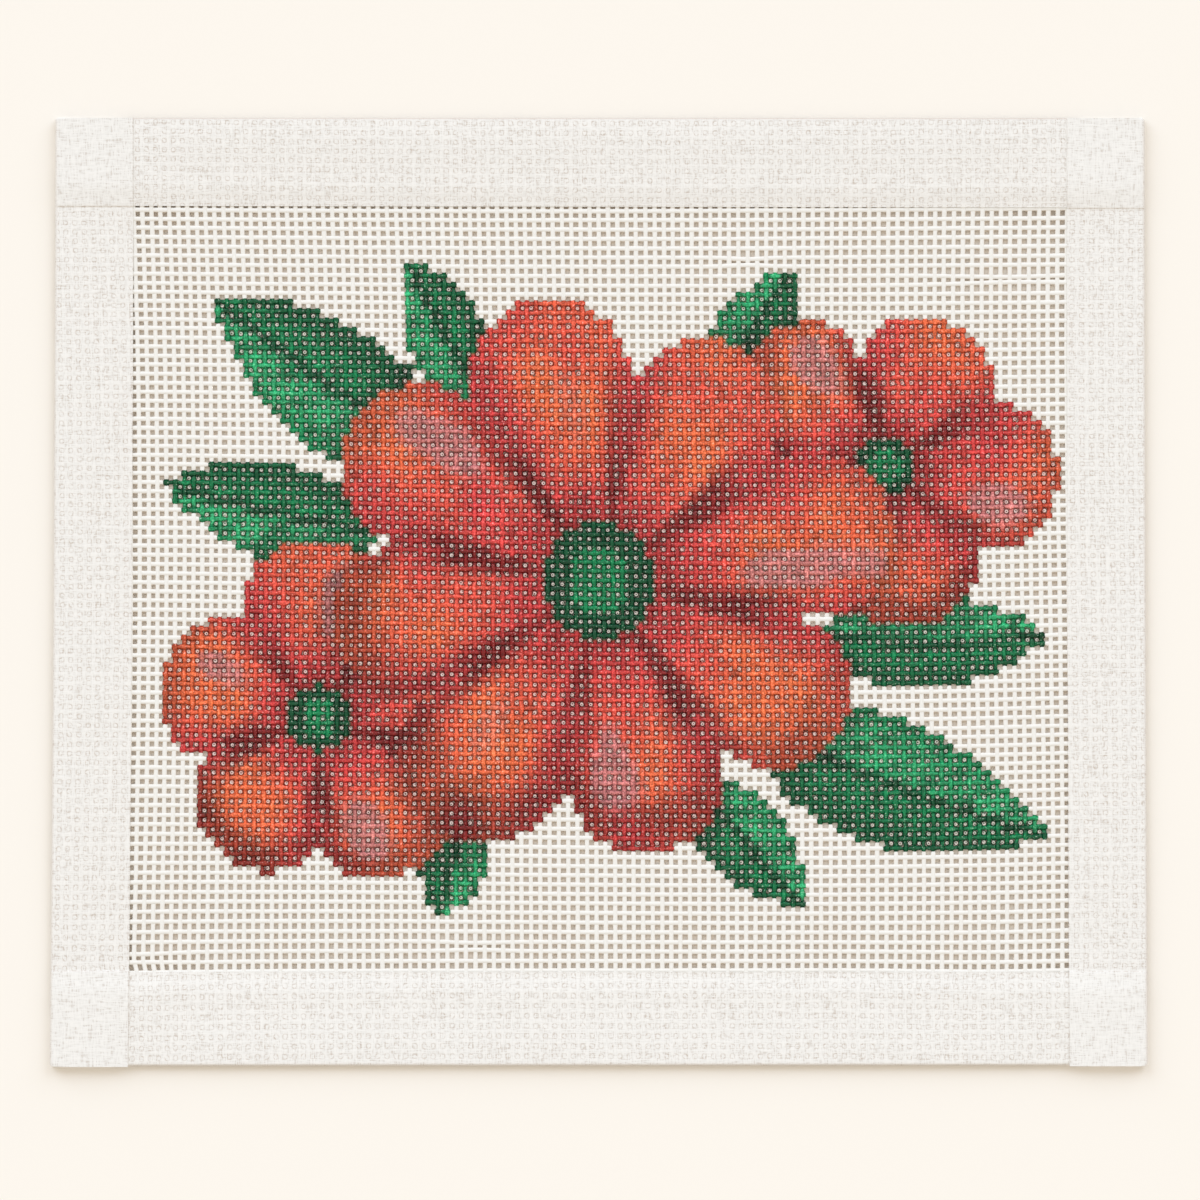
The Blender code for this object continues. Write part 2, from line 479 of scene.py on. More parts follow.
def paint_flower(flower, x, y, paint):
    """Colours of a flower, and how many meshes outside its outline each point lies.

    out is the place from the middle, 0, to the outline, 1, and off that across a petal, from
    -1 to 1. Petals are lit along their middles and dark in the folds between them, in the
    throat, on one side, along the lower rims and in veins. Some have a dusty streak.
    """
    dx, dy = x - flower.x, y - flower.y
    radius = np.hypot(dx, dy)
    sector = 2 * math.pi / flower.petals
    angle = np.arctan2(dy, dx) - flower.turn
    petal = np.round(angle / sector)
    off = (angle - petal * sector) / (sector / 2)
    petal = petal % flower.petals
    lobe = np.cos(off * math.pi / 2) ** 0.55
    reach = flower.reach * (0.70 + 0.30 * lobe) * (1 + 0.05 * np.sin(petal * 2.4 + flower.petals))
    out = radius / reach
    blots = soft_noise(x, y, 9, int(flower.reach))
    sweep = soft_noise(x, y, 26, int(flower.reach) + 50)
    shade = np.broadcast_to(np.array(paint["red"]), x.shape + (3,)).copy()
    lit = rise(out, 0.26, 0.40) * fall(np.abs(off + 0.10), 0.98, 0.75)
    shade = tint(shade, paint["orange"], lit * (0.85 + 0.35 * blots + 0.40 * sweep))
    fold = rise(np.abs(off), 0.54, 0.36) * fall(out, 1.10, 0.55)
    throat = fall(out, 0.46, 0.34)
    side = rise(off, 0.25, 0.7) * 0.40 * rise(out, 0.2, 0.4)
    below = 0.5 - 0.5 * np.sin(angle + flower.turn + 0.4)
    rim = smooth((out - 0.88 + 0.16 * below) / 0.16) * (0.20 + 0.65 * below)
    veins = rise(np.cos(off * 8 + petal), 0.70, 0.3) * fall(out, 0.80, 0.4) * 0.30
    dark = np.maximum.reduce([fold, throat * 0.85, side, rim, veins])
    shade = tint(shade, paint["maroon"], dark * (0.92 + 0.25 * blots))
    vary = np.sin(petal * 2.1 + flower.petals)
    streak = np.hypot(
        (off + 0.24 + 0.16 * vary) / (0.20 + 0.06 * vary),
        (out - 0.64 - 0.07 * vary) / (0.15 + 0.05 * vary),
    )
    streak = fall(streak, 1.2 + 0.35 * blots, 0.5) * rise(vary, -0.45, 0.3)
    shade = tint(shade, paint["mauve"], streak * 0.75)
    shade[radius <= flower.eye] = paint["leaf_dark"]
    shade[radius <= flower.eye * 0.55] = paint["leaf"]
    return shade, (out - 1) * flower.reach


def paint_leaf(leaf, x, y, paint):
    """Colours of a leaf, and how many meshes outside its outline each point lies.

    along runs from 0 at its root to 1 at its tip and off across it, from -1 to 1. One half is
    lit and the other shaded, with a dark vein and ribs.
    """
    angle = math.radians(leaf.heading)
    dx, dy = x - leaf.x, y - leaf.y
    along = (dx * math.cos(angle) + dy * math.sin(angle)) / leaf.length
    curl = 0.10 * leaf.length * along**2 * (1 if leaf.heading > 0 else -1)
    across = dy * math.cos(angle) - dx * math.sin(angle) + curl
    bulge = np.clip(np.sin(math.pi * np.clip(along, 0, 1) ** 0.85), 0, 1) ** 0.75
    off = across / (leaf.half_width * bulge + 0.35)
    blots = soft_noise(x, y, 6, int(leaf.length * 10))
    shade = np.broadcast_to(np.array(paint["leaf"]), x.shape + (3,)).copy()
    lit = rise(off, -0.15, 0.5) * fall(off, 0.95, 0.3)
    shade = tint(shade, paint["leaf_light"], lit * (0.8 + 0.4 * blots))
    vein = fall(np.abs(across), 0.75, 0.5)
    ribs = rise(np.cos((along * leaf.length - np.abs(across)) * 1.35), 0.55, 0.4) * 0.55
    dark = np.maximum.reduce([vein, ribs, fall(off, -0.25, 0.6) * 0.8])
    shade = tint(shade, paint["leaf_dark"], dark)
    beyond = np.maximum(-along, along - 1) * leaf.length
    return shade, np.maximum(beyond, (np.abs(off) - 1) * leaf.half_width)


class Painting:
    """Colour and cover of every woven crossing."""

    def __init__(self):
        paint = {name: tuple(getattr(settings("paint"), name)) for name in PAINTS}
        warps, wefts = np.meshgrid(list(WOVEN["warp"]), list(WOVEN["weft"]), indexing="ij")
        x, y = warps - MIDDLE[0], MIDDLE[1] - wefts
        self.colour = np.zeros(x.shape + (3,))
        self.cover = np.zeros(x.shape, bool)
        made = [paint_leaf(leaf, x, y, paint) for leaf in LEAVES]
        made += [paint_flower(flower, x, y, paint) for flower in FLOWERS]
        for shade, outside in made:
            shadow = smooth(1 - outside / SHADOW_REACH)
            self.colour *= 1 - SHADOW_DEPTH * shadow[..., None]
            inside = outside <= 0
            self.colour[inside] = shade[inside]
            self.cover |= inside
        rng = np.random.default_rng(SEED + 1)
        self.colour *= 1 + UNEVEN_PAINT * rng.standard_normal(x.shape)[..., None]
        self.colour = np.clip(self.colour, 0, 1)

    def at(self, warp, weft):
        """Colour and cover of a crossing; beyond the weave there is no paint."""
        column, row = warp - WOVEN["warp"].start, weft - WOVEN["weft"].start
        if 0 <= column < self.cover.shape[0] and 0 <= row < self.cover.shape[1]:
            return self.colour[column, row], self.cover[column, row]
        return np.zeros(3), False


# ---- meshes

def new_piece(name, points, quads, material):
    """An object from arrays of points in millimetres and of four-cornered faces."""
    mesh = bpy.data.meshes.new(name)
    mesh.vertices.add(len(points))
    mesh.vertices.foreach_set("co", (np.asarray(points) * MM).astype(np.float32).ravel())
    mesh.loops.add(4 * len(quads))
    mesh.loops.foreach_set("vertex_index", np.asarray(quads, np.int32).ravel())
    mesh.polygons.add(len(quads))
    mesh.polygons.foreach_set("loop_start", np.arange(0, 4 * len(quads), 4, dtype=np.int32))
    mesh.update(calc_edges=True)
    mesh.materials.append(material)
    mesh.shade_smooth()
    piece = bpy.data.objects.new(name, mesh)
    bpy.context.scene.collection.objects.link(piece)
    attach(piece, BODY)
    return piece


def point_values(piece, name, values):
    """A colour for each point, where values has four columns, or else a number."""
    values = np.asarray(values, np.float32)
    kind, field = ("FLOAT_COLOR", "color") if values.ndim == 2 else ("FLOAT", "value")
    layer = piece.data.attributes.new(name, kind, "POINT")
    layer.data.foreach_set(field, values.ravel())


def point_map(piece, name, u, v):
    """A UV map from a pair of numbers for each point."""
    corners = np.empty(len(piece.data.loops), np.int32)
    piece.data.loops.foreach_get("vertex_index", corners)
    pairs = np.stack([u, v], 1)[corners].astype(np.float32)
    piece.data.uv_layers.new(name=name).data.foreach_set("uv", pairs.ravel())


# ---- weaving

CLOTH_INSET = 1.0  # how deep inside the outer edge the canvas stops
# Rings of a painted crossing: place along the thread in meshes, width and tone, the tone a painted
# shade where the thread dives under its neighbours
PAINTED_STEPS = ((-0.32, 0.78, 0.88), (0.0, 1.08, 1.0), (0.32, 0.78, 0.88))
LAST_COVER = 0.62  # how much paint reaches such a ring beside a bare crossing
BARE_RISE = 0.14  # how much of a painted thread's rise and dip a bare one, pressed flat, has
BARE_SWELL = 1.10  # a bare thread is wider at crossings, as starch fills the holes' corners
UNEVEN = (0.055, 0.12)  # spread of a bare and of a painted crossing's width
SLIDE = 0.032  # spread of a painted crossing's place beside its thread's line, in meshes

# A thread's section: its two sides and four shoulders, round it from the right. A crown is
# how far out the shoulders stand: near the sides on a flat thread, less on a round one.
SIDES = np.array([1, 0, 0, -1, 0, 0])
SHOULDERS = np.array([0, 1, -1, 0, -1, 1])
RISES = np.array([0, 1, 1, 0, -1, -1])
BARE_CROWN, PAINTED_CROWN = 0.70, 0.32
SIDE_SHADES = np.where(RISES > 0, 1.0, 0.76)  # painted shade: paint is drawn darker down a thread's sides
UPPER = np.where(RISES < 0, 0.0, 1.0)  # and doesn't reach round to its back
DEEPER = 0.25  # how much deeper in colour that painted shade is there
SHADE_AND_MATT = np.array([0.6, 0.0, 0.0, 0.6, 1.0, 1.0])  # how much painted shade the sides and backs take, drawn warmer and darker, and how thin and matt the paint is there


def thread_rings(axis, index, painting, levels):
    """One thread as rows of warp, weft, height, half width, crown, red, green, blue and cover."""
    canvas = settings("canvas")
    bare = (canvas.bare_width * MIL / 2, BARE_CROWN)
    full = canvas.painted_width * MIL / 2
    cross = "weft" if axis == "warp" else "warp"
    lay = (-1 if axis == "warp" else 1) * BARE_RISE * levels["thread"] / 2
    rng = np.random.default_rng([SEED, axis == "warp", index - HIDDEN[axis].start])
    rows = []

    def add(along, height, half_width, crown, colour=(0, 0, 0), cover=0.0, aside=0.0):
        place = (index + aside, along) if axis == "warp" else (along, index + aside)
        half_width *= 1 + UNEVEN[cover > 0] * rng.standard_normal()
        rows.append((*place, levels["mid"] + height, half_width, crown, *colour, cover))

    def paint_at(along):
        return painting.at(index, along) if axis == "warp" else painting.at(along, index)

    add(HIDDEN[cross].start, lay, *bare)
    add(WOVEN[cross].start - 0.5, lay, *bare)
    if index in WOVEN[axis]:
        for k in WOVEN[cross]:
            over = 1 if (index + k + (axis == "weft")) % 2 else -1
            rise = over * levels["thread"] / 2
            colour, cover = paint_at(k)
            if not cover:
                add(k, rise * BARE_RISE, bare[0] * BARE_SWELL, bare[1])
                add(k + 0.5, 0.0, *bare)
                continue
            aside = SLIDE * rng.standard_normal()
            # tone darkens a bar's ends: painted shade where the thread dives
            for step, swell, tone in PAINTED_STEPS:
                last = step != 0 and not paint_at(k + (1 if step > 0 else -1))[1]
                height = rise * math.cos(math.pi * step)
                paint = LAST_COVER if last else 1.0
                add(k + step, height, full * swell, PAINTED_CROWN, colour * tone, paint, aside)
            if not paint_at(k + 1)[1]:
                add(k + 0.5, 0.0, *bare)
    add(WOVEN[cross].stop - 0.4, lay, *bare)
    add(HIDDEN[cross].stop - 1, lay, *bare)
    return np.array(rows)


def within_folds(x, y):
    """Holds points back from the tape's folds, where the cloth ends."""
    for name, edge in EDGES.items():
        along = y + HALF_HEIGHT if is_side(edge) else x + HALF_WIDTH
        share = np.clip(along / edge_length(edge), 0, 1)
        stop = edge_place(edge, share, CLOTH_INSET)
        if is_side(edge):
            x = np.maximum(x, stop[0]) if name == "left" else np.minimum(x, stop[0])
        else:
            y = np.maximum(y, stop[1]) if name == "bottom" else np.minimum(y, stop[1])
    return x, y


def tube_quads(rings, first):
    """Faces of a closed tube of so many rings whose points start at first."""
    sides = len(SIDES)
    ring = np.arange(rings - 1)[:, None] * sides
    side = np.arange(sides)[None, :]
    a, b = ring + side, ring + (side + 1) % sides
    wall = np.stack([a, b, b + sides, a + sides], -1).reshape(-1, 4)
    start_cap = np.array([[3, 2, 1, 0], [5, 4, 3, 0]])
    end_cap = start_cap[:, ::-1] + (rings - 1) * sides
    return np.concatenate([wall, start_cap, end_cap]) + first


def weave_bundle(name, axis, indices, painting, lattice, levels, material):
    """A piece made of these threads, each a flattened tube that rises and dips."""
    points, quads, colours, covers = [], [], [], []
    first, area = 0, 0.0
    for index in indices:
        rows = thread_rings(axis, index, painting, levels)
        warp, weft, height, half_width, crown = rows[:, :5].T
        x, y = within_folds(*lattice.place(warp, weft))
        out = (SIDES + SHOULDERS * crown[:, None]) * half_width[:, None]
        middle = height - lattice.sag(warp, weft)
        z = middle[:, None] + RISES * levels["thread"] / 2
        aside, ahead = (out, 0 * out) if axis == "warp" else (0 * out, out)
        ring = np.stack([x[:, None] + aside, y[:, None] + ahead, z], -1)
        points.append(ring.reshape(-1, 3))
        quads.append(tube_quads(len(rows), first))
        covers.append((rows[:, 8:9] * UPPER).ravel())
        # Painted shade: each ring's sides and back are drawn darker and deeper in colour than its top
        depth = 1 + DEEPER - DEEPER * UPPER * SIDE_SHADES
        tone = rows[:, None, 5:8] ** depth[:, None] * SIDE_SHADES[:, None]
        colours.append(np.concatenate([tone, np.ones(tone.shape[:2] + (1,))], -1).reshape(-1, 4))
        first += len(rows) * len(SIDES)
        steps = np.hypot(np.diff(x), np.diff(y))
        area += float(np.sum(steps * (half_width[1:] + half_width[:-1])))
    piece = new_piece(name, np.concatenate(points), np.concatenate(quads), material)
    point_values(piece, "paint", np.concatenate(colours))
    point_values(piece, "cover", np.concatenate(covers))
    point_values(piece, "shade_and_matt", np.tile(SHADE_AND_MATT, first // len(SIDES)))
    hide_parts("canvas")
    return piece, area * MM * MM


class NEEDLEPOINT_OT_weave(bpy.types.Operator):
    """Weaves and paints the threads of the canvas"""

    bl_idname = "needlepoint.weave_canvas"
    bl_label = "Weave and paint the canvas"

    def execute(self, context):
        lattice, painting, levels = Lattice(), Painting(), heights()
        material = painted_mono_canvas()
        width = 2 * (HALF_WIDTH - CLOTH_INSET) * MM
        height = 2 * (HALF_HEIGHT - CLOTH_INSET) * MM
        halves = (
            ("canvas_warps_left", "warp", 0, (width / 2, height)),
            ("canvas_warps_right", "warp", 1, (width / 2, height)),
            ("canvas_wefts_upper", "weft", 0, (height / 2, width)),
            ("canvas_wefts_lower", "weft", 1, (height / 2, width)),
        )
        for name, axis, half, flat in halves:
            threads = list(HIDDEN[axis])
            middle = (len(threads) + 1) // 2
            chosen = threads[middle:] if half else threads[:middle]
            piece, area = weave_bundle(name, axis, chosen, painting, lattice, levels, material)
        return {"FINISHED"}


# ---- starch in the holes

RIM_SIDES = 6
FILM_OUTER = (0.31, -0.15)  # the film's edge, in meshes from the hole's middle, and its height
FILM_BULGE = (0.155, -0.04)  # the ring where it bulges
FILM_INNER = -0.11  # height of the pinhole's rim
FILM_PAINT = (1.0, 0.06, 0.30)  # how much paint lies on each of the three
FILM_SHIFTS = (0.0, 0.06, 0.13)  # how far each strays from the hole's middle, in millimetres
BULGE_SIZES, PINHOLE_SIZES = (0.75, 1.12), (0.15, 1.25)  # their least and most, to the usual size


class NEEDLEPOINT_OT_starch(bpy.types.Operator):
    """Lays the film of starch, with a pinhole, that the paint leaves in each hole it surrounds"""

    bl_idname = "needlepoint.film_holes"
    bl_label = "Film the painted holes"

    def execute(self, context):
        lattice, painting = Lattice(), Painting()
        cover = painting.cover
        filled = cover[:-1, :-1] & cover[1:, :-1] & cover[:-1, 1:] & cover[1:, 1:]
        column, row = np.nonzero(filled)
        around = [(0, 0), (1, 0), (0, 1), (1, 1)]
        tone = sum(painting.colour[column + a, row + b] for a, b in around) / 4
        rng = np.random.default_rng(SEED + 2)
        count = len(column)
        warp = column + WOVEN["warp"].start + 0.5
        weft = row + WOVEN["weft"].start + 0.5
        x, y = lattice.place(warp, weft)
        middle = (heights()["mid"] - lattice.sag(warp, weft))[:, None]
        turn = np.arange(RIM_SIDES)[None, :] * 2 * math.pi / RIM_SIDES + rng.uniform(0, 1, (count, 1))
        outer = FILM_OUTER[0] * lattice.mesh
        bulge = FILM_BULGE[0] * lattice.mesh * rng.uniform(*BULGE_SIZES, (count, 1))
        hole = settings("canvas").pinhole * MIL * rng.uniform(*PINHOLE_SIZES, (count, 1))
        rings = []
        ring_heights = (FILM_OUTER[1], FILM_BULGE[1], FILM_INNER)
        for radius, height, shift in zip((outer, bulge, hole), ring_heights, FILM_SHIFTS):
            off = rng.normal(0, shift, (2, count, 1))
            px = x[:, None] + off[0] + radius * np.cos(turn)
            py = y[:, None] + off[1] + radius * np.sin(turn)
            rings.append(np.stack([px, py, middle + height + 0 * px], -1))
        points = np.stack(rings, 1).reshape(-1, 3)
        here = np.arange(RIM_SIDES)
        after = (here + 1) % RIM_SIDES
        rim, crest, inner = 0, RIM_SIDES, 2 * RIM_SIDES
        one = np.concatenate([
            np.stack([low + here, low + after, high + after, high + here], 1)
            for low, high in ((rim, crest), (crest, inner), (inner, rim))
        ])
        quads = (one[None] + (np.arange(count) * 3 * RIM_SIDES)[:, None, None]).reshape(-1, 4)
        piece = new_piece("canvas_starch_film", points, quads, starch_film())
        tones = np.repeat(np.concatenate([tone, np.ones((count, 1))], 1), 3 * RIM_SIDES, 0)
        point_values(piece, "paint", tones)
        point_values(piece, "cover", np.tile(np.repeat(FILM_PAINT, RIM_SIDES), count))
        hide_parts("canvas")
        return {"FINISHED"}


# ---- tape

FOLD_STEPS = 8
BACK_STEPS = 7
CORNER_ROUND = 0.5  # radius of the panel's corners in plan
END_STEPS = (0.0, 0.08, 0.25, 0.5, 1.0, 1.6)  # stations at a rounded corner, in its radius
CUT_ANGLE = math.radians(50)  # steeper edges, those of the cut cloth, are sharp
SIDE_REACH, CROSS_REACH = 0.45, 0.35  # how far the fold's turn reaches outwards
FOLD_SHADE_REACH = 0.6  # how far in from the fold the tape is drawn darker, as painted shade where the fold turns away
FOLD_SHADE = {"left": 0.45, "right": 0.45, "top": 1.0, "bottom": 0.5}  # and how much
CUT_SHADE = {"left": 1.0, "right": 0.6, "top": 0.0, "bottom": 0.45}  # how dark each cut edge is drawn: a painted shade line along its step
CUT_SHADE_LOW = 0.3  # and how much of that, where a side strip lies on the canvas
STEP_SHADE = 3.4  # how dark the painted shade in the crease of a climb is, where 4 is as dark as a rim
PRESSED_OUT = 0.8  # how much of the air is pressed out under a cut edge
ROUND_ENDS, ROUND_RUN = 3.5, 2.5  # where a corner's rounding has ended, inwards, and over what
RAMP_STEPS = (0.0, 0.25, 0.5, 0.75, 1.0, 1.3)  # stations where a strip climbs, in its ramp
# Least step between stations, how far the mesh's own ones keep from the strip's ends and from
# other stations and columns, and the width of the column at the cut edge
LEAST_STEP, END_ROOM, ROOM, LIP = 0.07, 1.2, 0.25, 0.2
BESIDE = {"left": -4, "right": 105, "top": -4, "bottom": 88}  # a thread under each strip
END_GAP = 0.3  # between the end of a top or bottom strip and the turn of the side one
MID_WARP, MID_WEFT = 50, 42  # threads at the middle of the opening


def end_stops(edge):
    """The lengths along an edge at which its strip starts and stops."""
    if is_side(edge):
        return -END_OVERHANG, edge_length(edge)
    inset = SIDE_REACH + END_GAP
    return inset, edge_length(edge) - inset


def crossed_face(edge, at_end, front):
    """How wide the leg is that a side strip crosses at one of its ends."""
    face = CORNERS[edge.end if at_end else edge.start].cross_face
    return face if front else settings("tape").width * MIL - face


def climb(edge, along, front):
    """0 where a side strip lies on the canvas and 1 where it lies on another strip."""
    if not is_side(edge):
        return np.zeros_like(along)
    tape = settings("tape")
    ramp, taper = tape.ramp * MIL, tape.taper * MIL
    thin = tape.edge / tape.thickness
    inside = np.maximum(
        crossed_face(edge, False, front) - along,
        crossed_face(edge, True, front) - (edge_length(edge) - along),
    )
    return thin * smooth(inside / ramp + 1) + (1 - thin) * smooth(inside / taper)


def thinned(values, least):
    """Sorted values without those that lie closer than least to the one before."""
    kept = []
    for value in sorted(values):
        if not kept or value - kept[-1] >= least:
            kept.append(value)
    return kept


def mesh_thirds(axis):
    """Counts of threads at the middle of each hole and a third of a mesh to either side."""
    first, last = HIDDEN[axis].start * 3, HIDDEN[axis].stop * 3
    return np.arange(first, last) / 3 + 0.5


def strip_grid(name, lattice):
    """Stations along a strip and depths of its front columns, both in step with the mesh."""
    edge = EDGES[name]
    warps, wefts = mesh_thirds("warp"), mesh_thirds("weft")
    start, stop = end_stops(edge)
    face = float(face_width(edge, 0.5))
    if is_side(edge):
        k, reach = 1, SIDE_REACH
        run, cut = lattice.place(BESIDE[name], wefts)[1], lattice.place(warps, MID_WEFT)[0]
    else:
        k, reach = 0, CROSS_REACH
        run, cut = lattice.place(warps, BESIDE[name])[0], lattice.place(MID_WARP, wefts)[1]
    along = run - corner_place(edge.start)[k]
    depth = np.abs(cut - edge_place(edge, 0.5, 0)[1 - k])
    centre = reach + settings("tape").thickness * MIL / 2
    ends = [CORNER_ROUND * step for step in END_STEPS]
    marks = [start + step for step in ends] + [stop - step for step in ends]
    if is_side(edge):
        ramp = settings("tape").ramp * MIL
        for front in (True, False):
            for at_end in (False, True):
                foot = crossed_face(edge, at_end, front)
                foot = edge_length(edge) - foot if at_end else foot
                way = -1 if at_end else 1
                marks += [foot + way * ramp * step for step in RAMP_STEPS]
    inner = [value for value in along if start + END_ROOM < value < stop - END_ROOM]
    inner = [value for value in inner if min(abs(value - mark) for mark in marks) > ROOM]
    stations = np.array(thinned(marks + inner, LEAST_STEP))
    columns = [value for value in depth if centre + ROOM < value < face - LIP - ROOM]
    columns = np.array([face, face - LIP, *sorted(columns, reverse=True)])
    return stations, columns / face, centre


def tape_piece(name, lattice, levels, material):
    """One strip of tape, folded over its edge: front leg, turn and back leg."""
    edge = EDGES[name]
    tape = settings("tape")
    half = levels["tape"] / 2
    stations, columns, centre = strip_grid(name, lattice)
    share = stations / edge_length(edge)
    face = face_width(edge, share)
    reach = centre - half
    climbed = {front: climb(edge, stations, front) for front in (True, False)}
    lift = {front: levels["first"] + levels["layer"] * climbed[front] for front in climbed}
    back = tape.width * MIL - face

    def thinning(inside, way):
        """How much nearer to the canvas the tape's edge pulls a surface this far inside it."""
        lost = SLACK * PRESSED_OUT + (tape.thickness - tape.edge) * MIL * (way > 0)
        return lost * (1 - smooth(inside / (tape.taper * MIL)))

    layers = []
    for way in (1, -1):  # the outer surface, then the inner one
        depth, height = [], []
        for column in columns:
            depth.append(face * column)
            height.append(lift[True] + way * half - thinning(face * (1 - column), way))
        for step in range(FOLD_STEPS + 1):
            angle = math.pi * (0.5 - step / FOLD_STEPS)
            depth.append(centre - (reach + way * half) * math.cos(angle) + 0 * face)
            height.append((lift[angle >= 0] + way * half) * math.sin(angle))
        for step in range(1, BACK_STEPS + 1):
            depth.append(mix(centre, back, step / BACK_STEPS))
            height.append(-lift[False] - way * half + thinning(back - depth[-1], way))
        layers.append((np.array(depth).T, np.array(height).T))

    ends = np.minimum(stations - stations[0], stations[-1] - stations)
    rounding = np.clip(CORNER_ROUND - ends, 0, None)
    rounding = CORNER_ROUND - np.sqrt(np.maximum(CORNER_ROUND**2 - rounding**2, 0))
    if not is_side(edge):
        rounding = rounding * 0
    points, maps, marks, step_shades, fold_shade = [], [], [], [], []
    for depth, height in layers:
        depth = depth + rounding[:, None] * fall(depth, ROUND_ENDS, ROUND_RUN)
        x, y = edge_place(edge, share[:, None], depth)
        warp, weft = lattice.counts(x, y)
        front = np.arange(depth.shape[1])[None, :] <= len(columns)
        crossing = np.clip(climbed[True] * tape.thickness / tape.edge, 0, 1)
        pressed = (1 - crossing[:, None]) * front
        # Painted shade: a dark line in the crease where a strip climbs, and along the cut edge
        step_shade = (STEP_SHADE * crossing * (1 - crossing))[:, None] * front
        step_shade[:, 0] = CUT_SHADE[name] * (mix(CUT_SHADE_LOW, 1, crossing) if is_side(edge) else 1)
        step_shades.append(step_shade)
        # Painted shade: darker towards the fold, where it turns away
        fold_shade.append(FOLD_SHADE[name] * smooth(1 - depth / FOLD_SHADE_REACH))
        waves = [0.5 - 0.5 * np.cos(2 * math.pi * count) for count in (warp, weft)]
        hollow = tape.dimple * MIL * waves[0] * waves[1] * pressed
        z = levels["mid"] + height - hollow - lattice.sag(warp, weft)
        points.append(np.stack([x, y, z], -1).reshape(-1, 3))
        maps.append(np.stack([warp, weft], -1).reshape(-1, 2))
        marks.append(pressed.ravel())
    rows, across = len(stations), layers[0][0].shape[1]
    grid = np.arange(rows * across).reshape(rows, across)
    outer = np.stack([grid[:-1, :-1], grid[:-1, 1:], grid[1:, 1:], grid[1:, :-1]], -1).reshape(-1, 4)
    inner = outer[:, ::-1] + rows * across
    rims = []
    for line in (grid[0, :], grid[:, -1], grid[-1, ::-1], grid[::-1, 0]):
        below = line + rows * across
        rims.append(np.stack([line[1:], line[:-1], below[:-1], below[1:]], 1))
    quads = np.concatenate([outer, inner, *rims])
    if name in ("left", "top"):
        quads = quads[:, ::-1]
    piece = new_piece(f"edge_tape_{name}", np.concatenate(points), quads, material)
    piece.data.set_sharp_from_angle(angle=CUT_ANGLE)
    uv = np.concatenate(maps)
    point_map(piece, "meshes", uv[:, 0], uv[:, 1])
    point_values(piece, "pressed", np.concatenate(marks))
    point_values(piece, "step_shade", np.concatenate(step_shades).ravel())
    point_values(piece, "fold_shade", np.concatenate(fold_shade).ravel())
    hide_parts(f"tape_{name}")
    return piece


class NEEDLEPOINT_OT_tape(bpy.types.Operator):
    """Folds a strip of cloth tape over each raw edge, the sides last"""

    bl_idname = "needlepoint.fold_tape"
    bl_label = "Fold the tape over the edges"

    def execute(self, context):
        lattice, levels = Lattice(), heights()
        material = cotton_tape()
        for name in EDGES:
            tape_piece(name, lattice, levels, material)
        return {"FINISHED"}


# ---- materials

SQUARENESS = 3.2  # of the holes' rims under the tape: 2 would make them round
RIM_RADIUS, RIM_JITTER = 0.245, 0.30  # in meshes, from the hole's middle
RIM_REACH, RIM_CORE = 0.09, 0.01  # where a rim starts and is full, from its line, in meshes


def add_node(tree, kind, links=None, **details):
    """A shader node with its settings.

    links gives inputs by name or number, as values, sockets or nodes, of which the first
    output is taken.
    """
    made = tree.nodes.new("ShaderNode" + kind)
    for name, value in details.items():
        setattr(made, name, value)
    for key, value in (links or {}).items():
        if isinstance(value, bpy.types.Node):
            value = value.outputs[0]
        if isinstance(value, bpy.types.NodeSocket):
            tree.links.new(value, made.inputs[key])
        else:
            made.inputs[key].default_value = value
    return made


def new_material(name):
    """A material without nodes, and add_node for its tree."""
    material = bpy.data.materials.new(name)
    material.use_nodes = True
    material.node_tree.nodes.clear()
    return material, partial(add_node, material.node_tree)


def finish_material(add, links):
    """The shader with these inputs, as the material's surface."""
    add("OutputMaterial", {"Surface": add("BsdfPrincipled", links)})


